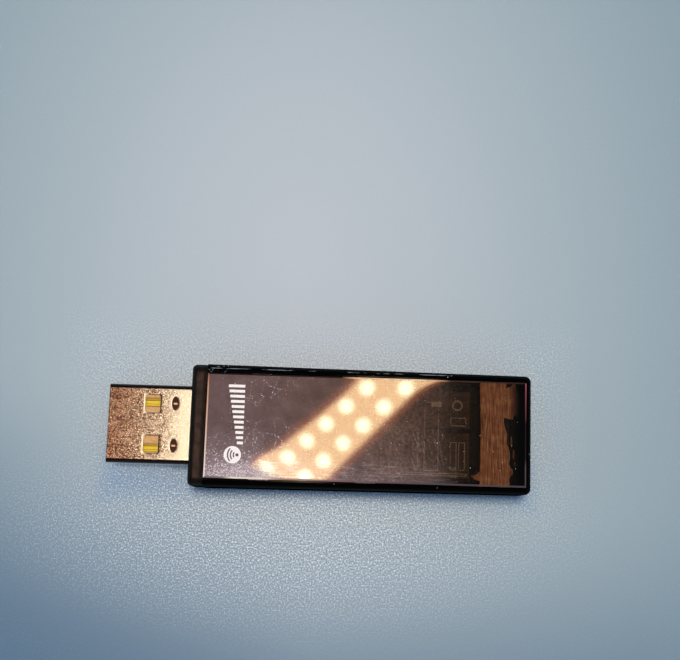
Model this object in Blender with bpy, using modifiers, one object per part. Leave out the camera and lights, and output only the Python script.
"""A slim USB wireless adapter: a type A plug on a flat rectangular housing.

The frame: +X runs from the plug's mouth to the housing's rear end, +Y across it and +Z up through
the window. The origin is the middle of the box round the whole part, on the plane that it rests on.
"""

import math

import bmesh
import bpy
from mathutils import Matrix, Vector

MM = 0.001

# Clearances between pieces
FIT_GAP = 0.1 * MM
SOLDER_GAP = 0.1 * MM

# Plug shell: one folded steel sheet, to the standard's outer size
PLUG_WIDTH = 12.0 * MM
PLUG_HEIGHT = 4.5 * MM
PLUG_LENGTH = 18.75 * MM
PLUG_EXPOSED = 12.6 * MM
SHEET = 0.3 * MM
SHELL_BEND = 0.6 * MM
SEAM_WIDTH = 0.1 * MM
SEAM_KEY_START = 2.2 * MM
SEAM_KEY_NECK = 1.6 * MM
SEAM_KEY_FLARE = 0.4 * MM
SEAM_KEY_DEPTH = 1.1 * MM

LATCH_START = 5.5 * MM
LATCH_LENGTH = 2.3 * MM
LATCH_WIDTH = 2.7 * MM
LATCH_OFFSET = 3.07 * MM
LATCH_CORNER = 0.3 * MM

DIMPLE_START = 10.1 * MM
DIMPLE_OFFSET = 3.2 * MM
DIMPLE_LENGTH = 1.06 * MM
DIMPLE_WIDTH = 2.06 * MM
DIMPLE_DEPTH = 0.45 * MM

LEG_REACH = 2.6 * MM
LEG_WIDTH = 1.3 * MM
LEG_ARM = 1.5 * MM
LEG_DROP = 0.15 * MM

# Plug insulator and contacts
TONGUE_THICKNESS = 1.84 * MM
TONGUE_SETBACK = 0.5 * MM
TONGUE_CHAMFER = 0.35 * MM
CAVITY_DEPTH = 9.2 * MM
CONTACT_THICKNESS = 0.25 * MM
CONTACT_WIDTH = 1.2 * MM
CONTACT_PROUD = 0.05 * MM
CONTACT_NOSE = 0.5 * MM
CONTACT_NOSE_DROP = 0.3 * MM
CONTACT_TAIL = 2.4 * MM
CONTACT_EDGE = 0.08 * MM
POWER_CONTACT_START = 1.6 * MM
DATA_CONTACT_START = 2.6 * MM
POWER_CONTACT_OFFSET = 3.5 * MM
DATA_CONTACT_OFFSET = 1.0 * MM

# Housing
BODY_LENGTH = 51.6 * MM
BODY_WIDTH = 18.6 * MM
BODY_HEIGHT = 8.0 * MM
SIDE_TAPER = 0.32 * MM
BODY_EDGE = 1.0 * MM
CASE_CORNER = 0.9 * MM
FLOOR = 0.9 * MM
RIM = 1.28 * MM
REAR_RIM = 0.65 * MM
LEDGE = 0.7 * MM
WALL_ROOT = 0.35 * MM

COLLAR_LENGTH = 2.3 * MM
COLLAR_INSET = 0.12 * MM
COLLAR_EDGE = 0.7 * MM
CHEEK_LENGTH = 3.2 * MM
CHEEK_THICKNESS = 0.7 * MM
CHEEK_GAP = 0.15 * MM
CHEEK_LEAD_IN = 0.2 * MM
BARB_LENGTH = 1.0 * MM
BARB_DEPTH = 0.25 * MM

WINDOW_THICKNESS = 1.0 * MM
WINDOW_BEVEL = 0.25 * MM
WINDOW_RIB_WIDTH = 0.7 * MM
WINDOW_RIB_DEPTH = 0.6 * MM
LUG_COUNT = 3
LUG_PITCH = 16.0 * MM
LUG_LENGTH = 3.0 * MM
LUG_RADIUS = 0.25 * MM
LUG_DEPTH = 0.65 * MM

# Brown film under the window's rear end
FILM_THICKNESS = 0.12 * MM
FILM_START = 6.9 * MM
FILM_END = 2.9 * MM
FILM_SEAT_ROOM = 1.6 * MM

# Circuit board
BOARD_THICKNESS = 1.0 * MM
BOARD_FRONT_GAP = 0.35 * MM
BOARD_REAR_GAP = 1.4 * MM
BOARD_SIDE_GAP = 0.15 * MM
BOARD_CORNER = 0.8 * MM
PIN_RADIUS = 0.6 * MM
PIN_BOSS_RADIUS = 1.2 * MM
PIN_RISE = 0.5 * MM
PIN_FRONT = 4.6 * MM
PIN_REAR = 5.6 * MM
PIN_EDGE = 2.0 * MM

# Where the chips sit: along the board from its front edge, and in from its sides
INPUT_X = 5.4 * MM
SUPPLY_X = 8.6 * MM
RADIO_X = 17.5 * MM
RADIO_Y = 0.6 * MM
LAMP_X = 31.0 * MM
ANTENNA_FROM_REAR = 2.2 * MM
LEFT_ROW_FROM_SIDE = 2.6 * MM
CRYSTAL_FROM_SIDE = 2.2 * MM
MEMORY_FROM_SIDE = 3.4 * MM

# Chips with sizes of their own; the small parts come in standard case sizes
RADIO_SIDE = 6.0 * MM
RADIO_HEIGHT = 0.9 * MM
MEMORY_LENGTH = 4.9 * MM
MEMORY_WIDTH = 3.9 * MM
MEMORY_HEIGHT = 1.4 * MM
MEMORY_SPAN = 6.0 * MM
MEMORY_PITCH = 1.27 * MM
REGULATOR_LENGTH = 2.9 * MM
REGULATOR_WIDTH = 1.6 * MM
REGULATOR_HEIGHT = 1.1 * MM
REGULATOR_SPAN = 2.8 * MM
REGULATOR_PITCH = 0.95 * MM
ANTENNA_LENGTH = 8.0 * MM
ANTENNA_WIDTH = 2.0 * MM
ANTENNA_HEIGHT = 1.2 * MM

# Rests for the board, moulded on the case's side walls
REST_COUNT = 3
REST_PITCH = 14.0 * MM
REST_LENGTH = 1.2 * MM
REST_WIDTH = 1.6 * MM

# Derived planes and stations
TIP_X = -(PLUG_EXPOSED + BODY_LENGTH) / 2
COLLAR_X = TIP_X + PLUG_EXPOSED
CASE_X = COLLAR_X + COLLAR_LENGTH
REAR_X = COLLAR_X + BODY_LENGTH
SHELL_REAR_X = TIP_X + PLUG_LENGTH
LEG_END_X = SHELL_REAR_X + LEG_REACH

WINDOW_LOW_Z = BODY_HEIGHT - WINDOW_THICKNESS
LEDGE_Z = WINDOW_LOW_Z - FIT_GAP
PLUG_MID_Z = (FLOOR + WINDOW_LOW_Z) / 2
PLUG_LOW_Z = PLUG_MID_Z - PLUG_HEIGHT / 2
PLUG_TOP_Z = PLUG_MID_Z + PLUG_HEIGHT / 2
TONGUE_LOW_Z = PLUG_LOW_Z + SHEET + FIT_GAP
TONGUE_TOP_Z = TONGUE_LOW_Z + TONGUE_THICKNESS
CONTACT_TOP_Z = TONGUE_TOP_Z + CONTACT_PROUD
CONTACT_LOW_Z = CONTACT_TOP_Z - CONTACT_THICKNESS

BOARD_TOP_Z = CONTACT_LOW_Z - SOLDER_GAP
BOARD_LOW_Z = BOARD_TOP_Z - BOARD_THICKNESS

RECESS_WIDTH = BODY_WIDTH - 2 * RIM
RECESS_REAR_X = REAR_X - REAR_RIM
PLUG_ROOM = PLUG_WIDTH + 2 * (CHEEK_GAP + CHEEK_THICKNESS + FIT_GAP)
CAVITY_WIDTH = max(RECESS_WIDTH - 2 * LEDGE, PLUG_ROOM)
CAVITY_REAR_X = RECESS_REAR_X - LEDGE
CLEAR_WIDTH = min(CAVITY_WIDTH, RECESS_WIDTH)
WINDOW_WIDTH = RECESS_WIDTH - 2 * FIT_GAP
WINDOW_FRONT_X = CASE_X + FIT_GAP
WINDOW_REAR_X = RECESS_REAR_X - FIT_GAP
WINDOW_MID_X = (WINDOW_FRONT_X + WINDOW_REAR_X) / 2

BOARD_FRONT_X = SHELL_REAR_X + BOARD_FRONT_GAP
BOARD_REAR_X = CAVITY_REAR_X - BOARD_REAR_GAP
BOARD_MID_X = (BOARD_FRONT_X + BOARD_REAR_X) / 2
BOARD_WIDTH = CAVITY_WIDTH - 2 * BOARD_SIDE_GAP
BOARD_LEFT = BOARD_WIDTH / 2
BOARD_RIGHT = -BOARD_WIDTH / 2
LEFT_ROW_Y = BOARD_LEFT - LEFT_ROW_FROM_SIDE
CRYSTAL_Y = BOARD_RIGHT + CRYSTAL_FROM_SIDE
MEMORY_Y = BOARD_RIGHT + MEMORY_FROM_SIDE
PIN_PLACES = (
    (BOARD_FRONT_X + PIN_FRONT, BOARD_LEFT - PIN_EDGE),
    (BOARD_REAR_X - PIN_REAR, BOARD_RIGHT + PIN_EDGE),
)

FILM_FRONT_X = WINDOW_REAR_X - FILM_START
FILM_REAR_X = WINDOW_REAR_X - FILM_END
FILM_TOP_Z = WINDOW_LOW_Z - FIT_GAP
FILM_LOW_Z = FILM_TOP_Z - FILM_THICKNESS

CONTACTS = {
    "contact_supply": (-POWER_CONTACT_OFFSET, POWER_CONTACT_START),
    "contact_data_minus": (-DATA_CONTACT_OFFSET, DATA_CONTACT_START),
    "contact_data_plus": (DATA_CONTACT_OFFSET, DATA_CONTACT_START),
    "contact_ground": (POWER_CONTACT_OFFSET, POWER_CONTACT_START),
}

# An outline's own x, y and depth, turned to the part's axes
ALONG_Z = Matrix.Identity(4)
ALONG_X = Matrix(((0, 0, 1, 0), (1, 0, 0, 0), (0, 1, 0, 0), (0, 0, 0, 1)))
ALONG_Y = Matrix(((1, 0, 0, 0), (0, 0, -1, 0), (0, 1, 0, 0), (0, 0, 0, 1)))


def clear_scene():
    """Empty the file without closing it."""
    for old in list(bpy.data.objects):
        bpy.data.objects.remove(old, do_unlink=True)


def make_collection(name):
    """A collection under the scene's own."""
    made = bpy.data.collections.new(name)
    bpy.context.scene.collection.children.link(made)
    return made


def make_material(name, colour, roughness, metallic=0.0, transmission=0.0):
    """A Principled material with the part's own colour and finish."""
    made = bpy.data.materials.new(name)
    made.use_nodes = True
    shader = made.node_tree.nodes["Principled BSDF"]
    shader.inputs["Base Color"].default_value = (*colour, 1.0)
    shader.inputs["Roughness"].default_value = roughness
    shader.inputs["Metallic"].default_value = metallic
    shader.inputs["Transmission Weight"].default_value = transmission
    made.diffuse_color = (*colour, 1.0)
    return made


def place(mesh_data, name, material, location=(0.0, 0.0, 0.0)):
    """Put a finished mesh in the part's collection, under the root empty."""
    piece = bpy.data.objects.new(name, mesh_data)
    piece.location = location
    piece.parent = ROOT
    mesh_data.materials.append(material)
    PARTS.objects.link(piece)
    return piece


def tool(mesh_data, name, location=(0.0, 0.0, 0.0)):
    """Keep a mesh as a hidden cutter or joiner."""
    helper = bpy.data.objects.new(name, mesh_data)
    helper.location = location
    helper.hide_render = True
    helper.display_type = "WIRE"
    TOOLS.objects.link(helper)
    return helper


def combine(target, helper, operation):
    """Cut with a helper, join it on, or keep only what both fill."""
    step = target.modifiers.new(helper.name, "BOOLEAN")
    step.operation = operation
    step.solver = "EXACT"
    step.object = helper


def mesh_from(bm, name):
    """Close a bmesh into mesh data."""
    bmesh.ops.recalc_face_normals(bm, faces=bm.faces)
    made = bpy.data.meshes.new(name)
    bm.to_mesh(made)
    bm.free()
    return made


def box_bmesh(size):
    """A box round its own middle."""
    bm = bmesh.new()
    bmesh.ops.create_cube(bm, size=1.0, matrix=Matrix.Diagonal((*size, 1.0)))
    return bm


def box_tool(name, low, high):
    """A hidden box between two corners."""
    low = Vector(low)
    high = Vector(high)
    return tool(mesh_from(box_bmesh(high - low), name), name, (low + high) / 2)


def cylinder_tool(name, radius, low, high, axis_place, turn=ALONG_Z, segments=24):
    """A hidden cylinder from low to high along the turned axis."""
    bm = bmesh.new()
    middle = Matrix.Translation((0.0, 0.0, (low + high) / 2))
    bmesh.ops.create_cone(
        bm, cap_ends=True, segments=segments, radius1=radius, radius2=radius,
        depth=high - low, matrix=turn @ middle,
    )
    return tool(mesh_from(bm, name), name, axis_place)


def rounded_rectangle(width, height, radius, steps=4):
    """Outline of a rectangle with round corners, anticlockwise round the origin."""
    points = []
    for turn, (side_x, side_y) in enumerate(((1, 1), (-1, 1), (-1, -1), (1, -1))):
        centre = Vector((side_x * (width / 2 - radius), side_y * (height / 2 - radius)))
        for step in range(steps + 1):
            angle = math.pi / 2 * (turn + step / steps)
            points.append(centre + radius * Vector((math.cos(angle), math.sin(angle))))
    return points


def ellipse(width, height, steps=24):
    """Outline of an ellipse round the origin."""
    angles = [2 * math.pi * step / steps for step in range(steps)]
    return [Vector((width / 2 * math.cos(a), height / 2 * math.sin(a))) for a in angles]


def moved(points, x, y):
    """The same outline somewhere else."""
    return [Vector((point[0] + x, point[1] + y)) for point in points]


def outline_mesh(name, outlines, thickness, turn=ALONG_Z):
    """Fill a flat curve, holes left open, and give it thickness about its own plane."""
    curve = bpy.data.curves.new(name, "CURVE")
    curve.dimensions = "2D"
    curve.fill_mode = "BOTH"
    curve.extrude = thickness / 2
    for points in outlines:
        spline = curve.splines.new("POLY")
        spline.points.add(len(points) - 1)
        spline.use_cyclic_u = True
        for corner, point in zip(spline.points, points):
            corner.co = (point[0], point[1], 0.0, 1.0)
    drawn = bpy.data.objects.new(name, curve)
    TOOLS.objects.link(drawn)
    depsgraph = bpy.context.evaluated_depsgraph_get()
    filled = bpy.data.meshes.new_from_object(drawn.evaluated_get(depsgraph))
    bpy.data.objects.remove(drawn, do_unlink=True)
    bm = bmesh.new()
    bm.from_mesh(filled)
    bmesh.ops.remove_doubles(bm, verts=bm.verts, dist=0.001 * MM)
    bmesh.ops.transform(bm, matrix=turn, verts=bm.verts)
    bpy.data.meshes.remove(filled)
    return mesh_from(bm, name)


def outline_tool(name, outlines, low, high, turn=ALONG_Z, location=(0.0, 0.0, 0.0)):
    """A hidden prism that spans low to high along the turned axis."""
    middle = turn.to_3x3() @ Vector((0.0, 0.0, (low + high) / 2))
    helper = outline_mesh(name, outlines, high - low, turn)
    return tool(helper, name, Vector(location) + middle)


def ribbon(points, width):
    """Outline of a band of even width along a path, with mitred bends."""
    left = []
    right = []
    for index, point in enumerate(points):
        before = points[max(index - 1, 0)]
        after = points[min(index + 1, len(points) - 1)]
        first = (point - before).normalized() if index else (after - point).normalized()
        last = (after - point).normalized() if after != point else first
        normal = Vector((-first.y - last.y, first.x + last.x)).normalized()
        reach = width / 2 / max(normal.dot(Vector((-first.y, first.x))), 0.2)
        left.append(point + normal * reach)
        right.append(point - normal * reach)
    return left + right[::-1]


def plug_shell():
    """The folded sheet: tube, seam, latch windows, pressed dimples and solder legs."""
    tube_length = PLUG_LENGTH + LEG_REACH
    section = [
        rounded_rectangle(PLUG_WIDTH, PLUG_HEIGHT, SHELL_BEND),
        rounded_rectangle(PLUG_WIDTH - 2 * SHEET, PLUG_HEIGHT - 2 * SHEET, SHELL_BEND - SHEET),
    ]
    tube = outline_mesh("plug_shell", section, tube_length, ALONG_X)
    shell = place(tube, "plug_shell", STEEL, (TIP_X + tube_length / 2, 0.0, PLUG_MID_Z))
    add_dimples(shell)
    combine(shell, latch_cutter(), "DIFFERENCE")
    combine(shell, seam_cutter(), "DIFFERENCE")
    combine(shell, leg_cutter(), "DIFFERENCE")
    return shell


def latch_cutter():
    """Both pairs of square windows, through the top and the bottom at once."""
    window = rounded_rectangle(LATCH_LENGTH, LATCH_WIDTH, LATCH_CORNER)
    middle_x = TIP_X + LATCH_START + LATCH_LENGTH / 2
    outlines = [moved(window, middle_x, side * LATCH_OFFSET) for side in (-1, 1)]
    return outline_tool("latch_windows", outlines, PLUG_LOW_Z - SHEET, PLUG_TOP_Z + SHEET)


def dimple_form(name, face_z, inward, side, grow):
    """A scoop rolled about X, trimmed to an oval; grow is the sheet's thickness or nothing."""
    half = DIMPLE_WIDTH / 2
    roll_radius = (half ** 2 + DIMPLE_DEPTH ** 2) / (2 * DIMPLE_DEPTH)
    x = TIP_X + DIMPLE_START
    y = side * DIMPLE_OFFSET
    axis_z = face_z + inward * (DIMPLE_DEPTH - roll_radius)
    oval = ellipse(DIMPLE_LENGTH + 2 * grow, DIMPLE_WIDTH + 2 * grow)
    lowest, highest = sorted((face_z - inward * (SHEET / 2 - grow), face_z + inward * PLUG_HEIGHT / 3))
    form = outline_tool(name, [oval], lowest, highest, location=(x, y, 0.0))
    roll = cylinder_tool(
        name + "_roll", roll_radius + grow, -DIMPLE_LENGTH, DIMPLE_LENGTH, (x, y, axis_z), ALONG_X, 64
    )
    combine(form, roll, "INTERSECT")
    return form


def add_dimples(shell):
    """Press the four ovals into the sheet, with the sheet's thickness kept behind each."""
    faces = {"top": (PLUG_TOP_Z, -1), "low": (PLUG_LOW_Z, 1)}
    for face, (face_z, inward) in faces.items():
        for side in (-1, 1):
            tag = "dimple_" + face + ("_right" if side < 0 else "_left")
            combine(shell, dimple_form(tag + "_back", face_z, inward, side, SHEET), "UNION")
            combine(shell, dimple_form(tag + "_scoop", face_z, inward, side, 0.0), "DIFFERENCE")


def seam_cutter():
    """The joint of the folded sheet, underneath: a hairline with one dovetail key."""
    key_x = TIP_X + SEAM_KEY_START
    path = [
        Vector((TIP_X - SHEET, 0.0)),
        Vector((key_x, 0.0)),
        Vector((key_x - SEAM_KEY_FLARE, SEAM_KEY_DEPTH)),
        Vector((key_x + SEAM_KEY_NECK + SEAM_KEY_FLARE, SEAM_KEY_DEPTH)),
        Vector((key_x + SEAM_KEY_NECK, 0.0)),
        Vector((LEG_END_X + SHEET, 0.0)),
    ]
    outline = ribbon(path, SEAM_WIDTH)
    return outline_tool("shell_seam", [outline], PLUG_LOW_Z - SHEET, PLUG_LOW_Z + 2 * SHEET)


def leg_cutter():
    """What is trimmed off the tube's rear end, leaving one hooked leg on each side wall."""
    arm_low = BOARD_TOP_Z + FIT_GAP
    foot = BOARD_LOW_Z - LEG_DROP
    beyond = LEG_END_X + SHEET
    outline = [
        (SHELL_REAR_X, PLUG_LOW_Z - SHEET),
        (beyond, PLUG_LOW_Z - SHEET),
        (beyond, PLUG_TOP_Z + SHEET),
        (SHELL_REAR_X, PLUG_TOP_Z + SHEET),
        (SHELL_REAR_X, arm_low + LEG_ARM),
        (LEG_END_X, arm_low + LEG_ARM),
        (LEG_END_X, foot),
        (LEG_END_X - LEG_WIDTH, foot),
        (LEG_END_X - LEG_WIDTH, arm_low),
        (SHELL_REAR_X, arm_low),
    ]
    half = PLUG_WIDTH / 2 + SHEET
    return outline_tool("leg_trim", [outline], -half, half, ALONG_Y)


def plug_insulator():
    """The moulded tongue and the block behind it, grooved for the four contacts."""
    inner_width = PLUG_WIDTH - 2 * SHEET - 2 * FIT_GAP
    inner_top = PLUG_TOP_Z - SHEET - FIT_GAP
    front_x = TIP_X + TONGUE_SETBACK
    block_x = TIP_X + CAVITY_DEPTH
    rear_x = SHELL_REAR_X
    outline = [
        (front_x, TONGUE_LOW_Z + TONGUE_CHAMFER),
        (front_x + TONGUE_CHAMFER, TONGUE_LOW_Z),
        (rear_x, TONGUE_LOW_Z),
        (rear_x, inner_top),
        (block_x, inner_top),
        (block_x, TONGUE_TOP_Z),
        (front_x + TONGUE_CHAMFER, TONGUE_TOP_Z),
        (front_x, TONGUE_TOP_Z - TONGUE_CHAMFER),
    ]
    body = place(outline_mesh("plug_insulator", [outline], inner_width, ALONG_Y), "plug_insulator", NATURAL)
    corner = SHELL_BEND - SHEET
    section = rounded_rectangle(inner_width, PLUG_HEIGHT - 2 * SHEET - 2 * FIT_GAP, corner)
    rounding = outline_tool(
        "insulator_section", [section], TIP_X, rear_x + SHEET, ALONG_X, (0.0, 0.0, PLUG_MID_Z)
    )
    combine(body, rounding, "INTERSECT")
    for name, (offset, start) in CONTACTS.items():
        combine(body, groove_cutter(name, offset, start), "DIFFERENCE")
        combine(body, nose_cutter(name, offset, start), "DIFFERENCE")
    for face_z, inward in ((PLUG_TOP_Z, -1), (PLUG_LOW_Z, 1)):
        combine(body, dimple_pockets(face_z, inward), "DIFFERENCE")
    return body


def groove_cutter(name, offset, start):
    """The channel that a contact lies in, closed over where it runs through the block."""
    half = CONTACT_WIDTH / 2 + FIT_GAP
    low = (TIP_X + start - FIT_GAP, offset - half, CONTACT_LOW_Z - FIT_GAP)
    high = (SHELL_REAR_X + SHEET, offset + half, CONTACT_TOP_Z + FIT_GAP)
    return box_tool(name + "_groove", low, high)


def nose_cutter(name, offset, start):
    """The pocket for the contact's turned-down nose."""
    half = CONTACT_WIDTH / 2 + FIT_GAP
    low_z = CONTACT_LOW_Z - CONTACT_NOSE_DROP - 2 * FIT_GAP
    low = (TIP_X + start - FIT_GAP, offset - half, low_z)
    high = (TIP_X + start + CONTACT_NOSE + 2 * FIT_GAP, offset + half, CONTACT_TOP_Z)
    return box_tool(name + "_pocket", low, high)


def dimple_pockets(face_z, inward):
    """Oval pockets that the pressed dimples lock into, on one face."""
    grow = SHEET + FIT_GAP
    oval = ellipse(DIMPLE_LENGTH + 2 * grow, DIMPLE_WIDTH + 2 * grow)
    x = TIP_X + DIMPLE_START
    outlines = [moved(oval, x, side * DIMPLE_OFFSET) for side in (-1, 1)]
    deepest = face_z + inward * (DIMPLE_DEPTH + SHEET + FIT_GAP)
    low, high = sorted((face_z, deepest))
    return outline_tool("dimple_pockets_" + ("low" if inward > 0 else "top"), outlines, low, high)


def contact(name, offset, start):
    """A gold-plated strip: turned-down nose, wiping length and solder tail."""
    nose_x = TIP_X + start
    middle_z = CONTACT_LOW_Z + CONTACT_THICKNESS / 2
    path = [
        Vector((nose_x, middle_z - CONTACT_NOSE_DROP)),
        Vector((nose_x + CONTACT_NOSE, middle_z)),
        Vector((SHELL_REAR_X + CONTACT_TAIL, middle_z)),
    ]
    outline = ribbon(path, CONTACT_THICKNESS)
    strip = outline_mesh(name, [outline], CONTACT_WIDTH, ALONG_Y)
    piece = place(strip, name, GOLD, (0.0, offset, 0.0))
    edge = piece.modifiers.new("edge", "BEVEL")
    edge.width = CONTACT_EDGE
    edge.segments = 2
    edge.limit_method = "ANGLE"
    return piece


def round_ended_block(width, height, edge, length, end_radius, taper=0.0, steps=5):
    """A bar along +X with rounded long edges; each side leans in by the taper, and the end is round."""
    end_radius = min(end_radius, 0.95 * edge)
    bm = bmesh.new()
    section = rounded_rectangle(width, height, edge, steps)
    face = bm.faces.new([bm.verts.new((0.0, point.x, point.y)) for point in section])
    far = bmesh.ops.extrude_face_region(bm, geom=[face])
    far_verts = [item for item in far["geom"] if isinstance(item, bmesh.types.BMVert)]
    far_face = next(item for item in far["geom"] if isinstance(item, bmesh.types.BMFace))
    bmesh.ops.translate(bm, vec=(length - end_radius, 0.0, 0.0), verts=far_verts)
    bmesh.ops.scale(bm, vec=(1.0, 1.0 - 2 * taper / width, 1.0), verts=far_verts)
    bmesh.ops.recalc_face_normals(bm, faces=bm.faces)
    angles = [math.pi / 2 * step / steps for step in range(steps + 1)]
    for before, after in zip(angles, angles[1:]):
        bmesh.ops.inset_region(
            bm, faces=[far_face], use_even_offset=True,
            thickness=end_radius * (math.cos(before) - math.cos(after)),
            depth=end_radius * (math.sin(after) - math.sin(before)),
        )
    return bm


def front_collar():
    """The matt end cap round the plug, with two snap cheeks that reach into the case."""
    width = BODY_WIDTH - 2 * COLLAR_INSET
    height = BODY_HEIGHT - 2 * COLLAR_INSET
    bm = round_ended_block(width, height, BODY_EDGE, COLLAR_LENGTH, COLLAR_EDGE)
    bmesh.ops.rotate(bm, matrix=Matrix.Rotation(math.pi, 3, "Z"), verts=bm.verts)
    middle = (CASE_X, 0.0, BODY_HEIGHT / 2)
    collar = place(mesh_from(bm, "front_collar"), "front_collar", MATT_BLACK, middle)
    mouth = rounded_rectangle(
        PLUG_WIDTH + 2 * FIT_GAP, PLUG_HEIGHT + 2 * FIT_GAP, SHELL_BEND + FIT_GAP
    )
    hole = outline_tool(
        "plug_mouth", [mouth], COLLAR_X - SHEET, CASE_X + SHEET, ALONG_X, (0.0, 0.0, PLUG_MID_Z)
    )
    combine(collar, hole, "DIFFERENCE")
    for side in (-1, 1):
        combine(collar, cheek(side), "UNION")
    return collar


def cheek_outline(side):
    """Plan of one cheek and its barb."""
    outer = CAVITY_WIDTH / 2 - FIT_GAP
    inner = outer - CHEEK_THICKNESS
    barb_x = CASE_X + CHEEK_LENGTH - BARB_LENGTH
    outline = [
        (COLLAR_X + COLLAR_LENGTH / 2, inner),
        (CASE_X + CHEEK_LENGTH, inner),
        (CASE_X + CHEEK_LENGTH, outer - CHEEK_LEAD_IN),
        (barb_x, outer + FIT_GAP + BARB_DEPTH),
        (barb_x, outer),
        (COLLAR_X + COLLAR_LENGTH / 2, outer),
    ]
    points = [Vector((x, side * y)) for x, y in outline]
    return points if side > 0 else points[::-1]


def cheek(side):
    """One springy tab beside the plug, with a barb that snaps into the case wall."""
    middle_z = (FLOOR + LEDGE_Z) / 2
    half = (LEDGE_Z - FLOOR) / 2 - FIT_GAP
    tag = "cheek_right" if side < 0 else "cheek_left"
    return outline_tool(tag, [cheek_outline(side)], middle_z - half, middle_z + half)


def case_tray():
    """The moulded case: floor, side walls and rear wall, with a ledge for the window."""
    length = REAR_X - CASE_X
    bm = round_ended_block(BODY_WIDTH, BODY_HEIGHT, BODY_EDGE, length, CASE_CORNER, SIDE_TAPER)
    case = place(mesh_from(bm, "case_tray"), "case_tray", GLOSS_BLACK, (CASE_X, 0.0, BODY_HEIGHT / 2))
    combine(case, box_tool(
        "window_recess",
        (CASE_X - MM, -RECESS_WIDTH / 2, LEDGE_Z),
        (RECESS_REAR_X, RECESS_WIDTH / 2, BODY_HEIGHT + MM),
    ), "DIFFERENCE")
    combine(case, box_tool(
        "case_cavity",
        (CASE_X - MM, -CAVITY_WIDTH / 2, FLOOR),
        (CAVITY_REAR_X, CAVITY_WIDTH / 2, WINDOW_LOW_Z),
    ), "DIFFERENCE")
    combine(case, box_tool(
        "film_seat",
        (FILM_FRONT_X - FILM_SEAT_ROOM, -RECESS_WIDTH / 2, FILM_LOW_Z - FIT_GAP),
        (FILM_REAR_X + FILM_SEAT_ROOM, RECESS_WIDTH / 2, BODY_HEIGHT),
    ), "DIFFERENCE")
    for side in (-1, 1):
        combine(case, barb_pocket(side), "DIFFERENCE")
    for number, x in enumerate(lug_stations(), 1):
        combine(case, lug_pocket(number, x), "DIFFERENCE")
    add_board_supports(case)
    return case


def barb_pocket(side):
    """The notch in the case wall that a collar barb snaps into."""
    wall = side * CAVITY_WIDTH / 2
    low_y, high_y = sorted((wall - side * FIT_GAP, wall + side * (BARB_DEPTH + FIT_GAP)))
    front_x = CASE_X + CHEEK_LENGTH - BARB_LENGTH - FIT_GAP
    rear_x = CASE_X + CHEEK_LENGTH + FIT_GAP
    tag = "barb_pocket_right" if side < 0 else "barb_pocket_left"
    return box_tool(tag, (front_x, low_y, FLOOR), (rear_x, high_y, LEDGE_Z))


def lug_stations():
    """Where the window's lugs lie along the housing."""
    first = WINDOW_MID_X - LUG_PITCH * (LUG_COUNT - 1) / 2
    return [first + LUG_PITCH * index for index in range(LUG_COUNT)]


def lug_rod(name, x, grow):
    """Rods across both long edges of the window; grow makes them the pockets that take the lugs."""
    edge = WINDOW_WIDTH / 2
    z = BODY_HEIGHT - LUG_DEPTH
    half = LUG_LENGTH / 2 + grow
    circle = ellipse(2 * (LUG_RADIUS + grow), 2 * (LUG_RADIUS + grow), 16)
    outlines = [moved(circle, side * edge, z) for side in (-1, 1)]
    return outline_tool(name, outlines, x - half, x + half, ALONG_X)


def lug_pocket(number, x):
    """The pair of grooves in the rim at one station."""
    return lug_rod(f"lug_pocket_{number}", x, FIT_GAP)


def add_board_supports(case):
    """Rests moulded on the side walls and two pins that locate the board."""
    rest_top = BOARD_LOW_Z - FIT_GAP
    first = BOARD_MID_X - REST_PITCH * (REST_COUNT - 1) / 2
    for index in range(REST_COUNT):
        x = first + REST_PITCH * index
        for side in (-1, 1):
            low_y, high_y = sorted((
                side * (CAVITY_WIDTH / 2 - REST_WIDTH), side * (CAVITY_WIDTH / 2 + WALL_ROOT)
            ))
            tag = f"board_rest_{index + 1}_" + ("right" if side < 0 else "left")
            combine(case, box_tool(
                tag,
                (x - REST_LENGTH / 2, low_y, FLOOR / 2),
                (x + REST_LENGTH / 2, high_y, rest_top),
            ), "UNION")
    for number, (x, y) in enumerate(PIN_PLACES, 1):
        root_z = FLOOR / 2
        pin_top = BOARD_TOP_Z + PIN_RISE
        boss = cylinder_tool(f"pin_boss_{number}", PIN_BOSS_RADIUS, root_z, rest_top, (x, y, 0.0))
        pin = cylinder_tool(f"pin_{number}", PIN_RADIUS, root_z, pin_top, (x, y, 0.0), segments=16)
        combine(case, boss, "UNION")
        combine(case, pin, "UNION")


def window_lid():
    """The smoked clear window: bevelled plate, two ribs underneath and snap lugs."""
    length = WINDOW_REAR_X - WINDOW_FRONT_X
    bm = box_bmesh((length, WINDOW_WIDTH, WINDOW_THICKNESS))
    rim = [e for e in bm.edges if all(v.co.z > 0 for v in e.verts)]
    bmesh.ops.bevel(
        bm, geom=rim, offset=WINDOW_BEVEL, segments=1, profile=0.5, affect="EDGES", material=-1
    )
    middle = (WINDOW_MID_X, 0.0, BODY_HEIGHT - WINDOW_THICKNESS / 2)
    lid = place(mesh_from(bm, "window_lid"), "window_lid", SMOKED, middle)
    for number, x in enumerate(lug_stations(), 1):
        combine(lid, lug_rod(f"lug_{number}", x, 0.0), "UNION")
    outer = CLEAR_WIDTH / 2 - FIT_GAP
    for side in (-1, 1):
        low_y, high_y = sorted((side * (outer - WINDOW_RIB_WIDTH), side * outer))
        tag = "window_rib_right" if side < 0 else "window_rib_left"
        combine(lid, box_tool(
            tag,
            (CASE_X + CHEEK_LENGTH + 2 * FIT_GAP, low_y, WINDOW_LOW_Z - WINDOW_RIB_DEPTH),
            (FILM_FRONT_X - FILM_SEAT_ROOM, high_y, WINDOW_LOW_Z + WINDOW_THICKNESS / 2),
        ), "UNION")
    return lid


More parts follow.
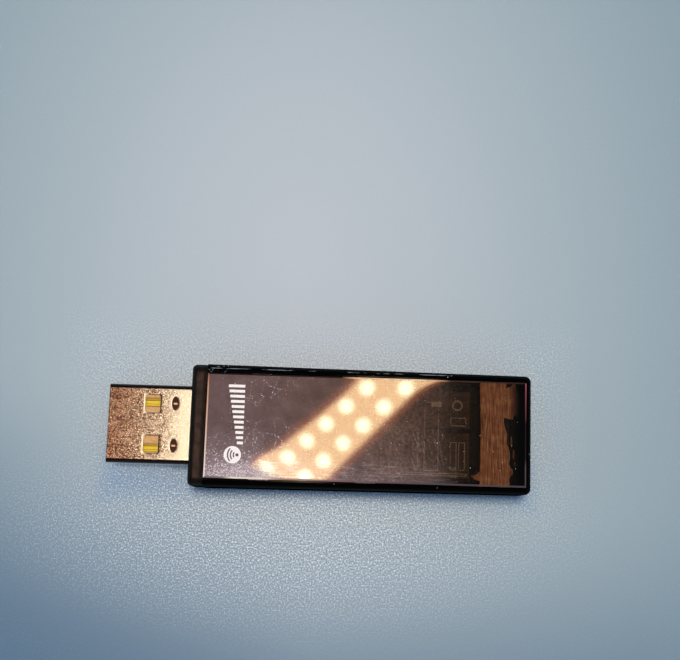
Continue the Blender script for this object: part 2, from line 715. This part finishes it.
def end_film():
    """The brown film stuck under the window's rear end, torn along its rear edge."""
    half = RECESS_WIDTH / 2 - FIT_GAP
    torn = [
        (0.0, 1.00), (-0.15, 0.82), (-0.35, 0.66), (-0.10, 0.55), (-0.30, 0.38), (-0.45, 0.24),
        (-0.20, 0.12), (0.10, 0.02), (0.05, -0.16), (0.45, -0.30), (0.60, -0.42), (0.40, -0.55),
        (0.80, -0.66), (0.95, -0.74), (0.45, -0.84), (0.60, -1.00),
    ]
    flake = [
        (-0.10, -1.00), (0.05, -0.90), (-0.95, -0.86), (-1.10, -0.82), (-0.60, -0.78), (0.0, -0.72),
        (0.10, 0.10), (-0.10, 1.00),
    ]
    outline = [Vector((FILM_REAR_X + x * MM, y * half)) for x, y in torn]
    outline += [Vector((FILM_FRONT_X + x * MM, y * half)) for x, y in flake]
    film = outline_mesh("end_film", [outline], FILM_THICKNESS)
    return place(film, "end_film", BROWN_FILM, (0.0, 0.0, (FILM_LOW_Z + FILM_TOP_Z) / 2))


def circuit_board():
    """The laminate board, with holes for the case pins and slots for the shell's legs."""
    length = BOARD_REAR_X - BOARD_FRONT_X
    board = moved(rounded_rectangle(length, BOARD_WIDTH, BOARD_CORNER), BOARD_MID_X, 0.0)
    hole = ellipse(2 * (PIN_RADIUS + FIT_GAP), 2 * (PIN_RADIUS + FIT_GAP), 16)
    slot = rounded_rectangle(LEG_WIDTH + 2 * FIT_GAP, SHEET + 2 * FIT_GAP, FIT_GAP, steps=1)
    leg_y = PLUG_WIDTH / 2 - SHEET / 2
    outlines = [board]
    outlines += [moved(hole, x, y) for x, y in PIN_PLACES]
    outlines += [moved(slot, LEG_END_X - LEG_WIDTH / 2, side * leg_y) for side in (-1, 1)]
    plate = outline_mesh("circuit_board", outlines, BOARD_THICKNESS)
    return place(plate, "circuit_board", LAMINATE, (0.0, 0.0, BOARD_LOW_Z + BOARD_THICKNESS / 2))


def on_board(x, y, height):
    """Where a piece of this height sits, from the board's front edge and middle line."""
    return (BOARD_FRONT_X + x, y, BOARD_TOP_Z + SOLDER_GAP + height / 2)


def end_capped(name, size, cap, material, location, turned=False):
    """A chip part: a ceramic block whose metal ends stand a little proud."""
    length, width, height = size
    swell = 1.06
    bm = box_bmesh((length, width, height))
    for side in (-1, 1):
        for step_x in (length / 2 - cap, length / 2 - cap * 1.1):
            whole = bm.verts[:] + bm.edges[:] + bm.faces[:]
            bmesh.ops.bisect_plane(bm, geom=whole, plane_co=(side * step_x, 0, 0), plane_no=(1, 0, 0))
    for vert in bm.verts:
        if abs(vert.co.x) > length / 2 - cap * 1.05:
            vert.co.y *= swell
            vert.co.z = (vert.co.z + height / 2) * swell - height / 2
    if turned:
        bmesh.ops.rotate(bm, matrix=Matrix.Rotation(math.pi / 2, 3, "Z"), verts=bm.verts)
    return place(mesh_from(bm, name), name, material, location)


def gull_wing_chip(name, size, span, pins, pitch, location):
    """A moulded chip with bent legs on both long sides."""
    length, width, height = size
    lead = 0.15 * MM
    lead_width = 0.4 * MM
    draft = 0.94
    bm = box_bmesh((length, width, height))
    whole = bm.verts[:] + bm.edges[:] + bm.faces[:]
    bmesh.ops.bisect_plane(bm, geom=whole, plane_co=(0, 0, 0), plane_no=(0, 0, 1))
    for vert in bm.verts:
        if abs(vert.co.z) > height / 4:
            vert.co.x *= draft
            vert.co.y *= draft
    chip = place(mesh_from(bm, name), name, CHIP_BLACK, location)
    foot_z = -height / 2 + lead / 2
    foot_y = span / 2
    knee_y = width / 2 + 0.25 * MM
    ankle_y = knee_y + 0.15 * MM
    path = [Vector((-foot_y, foot_z)), Vector((-ankle_y, foot_z)), Vector((-knee_y, 0.0))]
    path += [Vector((-point.x, point.y)) for point in reversed(path)]
    for pin in range(pins):
        x = location[0] + pitch * (pin - (pins - 1) / 2)
        leg = outline_mesh(f"{name}_leg_{pin + 1}", [ribbon(path, lead)], lead_width, ALONG_X)
        combine(chip, tool(leg, f"{name}_leg_{pin + 1}", (x, *location[1:])), "UNION")
    return chip


def radio_chip():
    """The flat leadless chip that holds the radio, with its first-pin dot."""
    size = Vector((RADIO_SIDE, RADIO_SIDE, RADIO_HEIGHT))
    edge = 0.12 * MM
    dot_inset = 0.8 * MM
    dot_radius = 0.35 * MM
    dot_depth = 0.08 * MM
    bm = box_bmesh(size)
    top = [e for e in bm.edges if all(v.co.z > 0 for v in e.verts)]
    bmesh.ops.bevel(bm, geom=top, offset=edge, segments=1, profile=0.5, affect="EDGES", material=-1)
    location = on_board(RADIO_X, RADIO_Y, size.z)
    chip = place(mesh_from(bm, "radio_chip"), "radio_chip", CHIP_BLACK, location)
    top_z = location[2] + size.z / 2
    corner = (location[0] - size.x / 2 + dot_inset, location[1] + size.y / 2 - dot_inset, 0.0)
    dot = cylinder_tool(
        "first_pin_dot", dot_radius, top_z - dot_depth, top_z + MM, corner, segments=16
    )
    combine(chip, dot, "DIFFERENCE")
    return chip


def raise_faces(bm, faces, rise):
    """Pull flat faces up into a block."""
    raised = bmesh.ops.extrude_face_region(bm, geom=faces)
    lifted = [item for item in raised["geom"] if isinstance(item, bmesh.types.BMVert)]
    bmesh.ops.translate(bm, vec=(0, 0, rise), verts=lifted)
    bmesh.ops.delete(bm, geom=faces, context="FACES")


def crystal():
    """The clock crystal: a ceramic base with a stepped metal lid."""
    size = Vector((3.2, 2.5, 0.5)) * MM
    lid_step = 0.15 * MM
    lid_rise = 0.25 * MM
    bm = box_bmesh(size)
    top = [face for face in bm.faces if face.normal.z > 0.9]
    bmesh.ops.inset_region(bm, faces=top, thickness=lid_step)
    raise_faces(bm, top, lid_rise)
    place(mesh_from(bm, "crystal"), "crystal", NICKEL, on_board(RADIO_X + MM, CRYSTAL_Y, size.z))


def status_led():
    """The small indicator lamp: a flat base with a clear lens block on it."""
    size = Vector((1.6, 0.8, 0.35)) * MM
    lens_half = 0.55 * MM
    lens_rise = 0.3 * MM
    bm = box_bmesh(size)
    for side in (-1, 1):
        whole = bm.verts[:] + bm.edges[:] + bm.faces[:]
        bmesh.ops.bisect_plane(bm, geom=whole, plane_co=(side * lens_half, 0, 0), plane_no=(1, 0, 0))
    middle = [f for f in bm.faces if f.normal.z > 0.9 and abs(f.calc_center_median().x) < lens_half]
    raise_faces(bm, middle, lens_rise)
    place(mesh_from(bm, "status_led"), "status_led", LENS, on_board(LAMP_X, LEFT_ROW_Y, size.z))


def chip_parts():
    """The small resistors, capacitors and coils, each in its real case size."""
    large = Vector((3.2, 1.6, 1.6)) * MM
    medium = Vector((1.6, 0.8, 0.8)) * MM
    flat = Vector((1.6, 0.8, 0.45)) * MM
    small = Vector((1.0, 0.5, 0.5)) * MM
    filter_size = Vector((2.0, 1.25, 0.7)) * MM
    antenna_size = Vector((ANTENNA_LENGTH, ANTENNA_WIDTH, ANTENNA_HEIGHT))
    antenna_x = BOARD_REAR_X - BOARD_FRONT_X - ANTENNA_FROM_REAR
    parts = {
        "bulk_capacitor": (large, 0.6, TANTALUM, SUPPLY_X, LEFT_ROW_Y, False),
        "ferrite_bead": (medium, 0.35, FERRITE, INPUT_X, -3.6 * MM, False),
        "data_resistor_minus": (flat, 0.3, RESISTOR_BLACK, INPUT_X, -1.6 * MM, False),
        "data_resistor_plus": (flat, 0.3, RESISTOR_BLACK, INPUT_X, 0.4 * MM, False),
        "lamp_resistor": (flat, 0.3, RESISTOR_BLACK, LAMP_X - 2.6 * MM, LEFT_ROW_Y, False),
        "supply_capacitor_in": (medium, 0.35, CERAMIC, SUPPLY_X + 0.6 * MM, 1.4 * MM, True),
        "supply_capacitor_out": (medium, 0.35, CERAMIC, SUPPLY_X + 3.6 * MM, 1.4 * MM, True),
        "radio_capacitor_front": (small, 0.25, CERAMIC, RADIO_X - 1.3 * MM, LEFT_ROW_Y, False),
        "radio_capacitor_rear": (small, 0.25, CERAMIC, RADIO_X + 1.3 * MM, LEFT_ROW_Y, False),
        "core_capacitor": (small, 0.25, CERAMIC, RADIO_X + 4.3 * MM, RADIO_Y + 1.9 * MM, True),
        "load_capacitor_front": (small, 0.25, CERAMIC, RADIO_X - 1.7 * MM, CRYSTAL_Y, True),
        "load_capacitor_rear": (small, 0.25, CERAMIC, RADIO_X + 3.7 * MM, CRYSTAL_Y, True),
        "antenna_filter": (filter_size, 0.4, CERAMIC_PALE, RADIO_X + 6.4 * MM, RADIO_Y, False),
        "match_coil": (small, 0.25, FERRITE, RADIO_X + 8.9 * MM, RADIO_Y, False),
        "match_capacitor": (small, 0.25, CERAMIC, RADIO_X + 10.7 * MM, RADIO_Y, False),
        "chip_antenna": (antenna_size, 0.6, CERAMIC_PALE, antenna_x, RADIO_Y, True),
    }
    for name, (size, cap, material, x, y, turned) in parts.items():
        end_capped(name, size, cap * MM, material, on_board(x, y, size.z), turned)


def legged_chips():
    """The memory chip and the voltage regulator."""
    memory = Vector((MEMORY_LENGTH, MEMORY_WIDTH, MEMORY_HEIGHT))
    regulator = Vector((REGULATOR_LENGTH, REGULATOR_WIDTH, REGULATOR_HEIGHT))
    memory_place = on_board(SUPPLY_X + 2.0 * MM, MEMORY_Y, memory.z)
    regulator_place = on_board(SUPPLY_X + 4.6 * MM, LEFT_ROW_Y, regulator.z)
    gull_wing_chip("memory_chip", memory, MEMORY_SPAN, 4, MEMORY_PITCH, memory_place)
    gull_wing_chip(
        "voltage_regulator", regulator, REGULATOR_SPAN, 3, REGULATOR_PITCH, regulator_place
    )


def build():
    """Model every piece."""
    plug_shell()
    plug_insulator()
    for name, (offset, start) in CONTACTS.items():
        contact(name, offset, start)
    front_collar()
    case_tray()
    window_lid()
    end_film()
    circuit_board()
    radio_chip()
    crystal()
    status_led()
    chip_parts()
    legged_chips()


clear_scene()
PARTS = make_collection("usb_wireless_adapter")
TOOLS = make_collection("cutters_and_joiners")
ROOT = bpy.data.objects.new("adapter_root", None)
PARTS.objects.link(ROOT)

STEEL = make_material("nickel_plated_steel", (0.62, 0.58, 0.52), 0.32, 1.0)
GOLD = make_material("gold_plated_bronze", (0.85, 0.62, 0.25), 0.25, 1.0)
NATURAL = make_material("natural_nylon", (0.72, 0.62, 0.46), 0.5)
MATT_BLACK = make_material("matt_black_abs", (0.022, 0.018, 0.016), 0.55)
GLOSS_BLACK = make_material("gloss_black_abs", (0.010, 0.010, 0.012), 0.2)
SMOKED = make_material("smoked_acrylic", (0.10, 0.09, 0.09), 0.05, 0.0, 0.9)
BROWN_FILM = make_material("brown_film", (0.30, 0.14, 0.07), 0.6)
LAMINATE = make_material("green_laminate", (0.015, 0.05, 0.03), 0.4)
CHIP_BLACK = make_material("moulded_epoxy", (0.02, 0.02, 0.022), 0.5)
NICKEL = make_material("plated_can", (0.6, 0.6, 0.58), 0.3, 1.0)
LENS = make_material("clear_epoxy", (0.75, 0.80, 0.70), 0.2)
TANTALUM = make_material("tantalum_yellow", (0.62, 0.38, 0.08), 0.5)
FERRITE = make_material("ferrite_grey", (0.06, 0.06, 0.065), 0.5)
RESISTOR_BLACK = make_material("resistor_glaze", (0.015, 0.015, 0.018), 0.3)
CERAMIC = make_material("ceramic_tan", (0.45, 0.32, 0.20), 0.5)
CERAMIC_PALE = make_material("ceramic_white", (0.75, 0.75, 0.72), 0.45)

build()
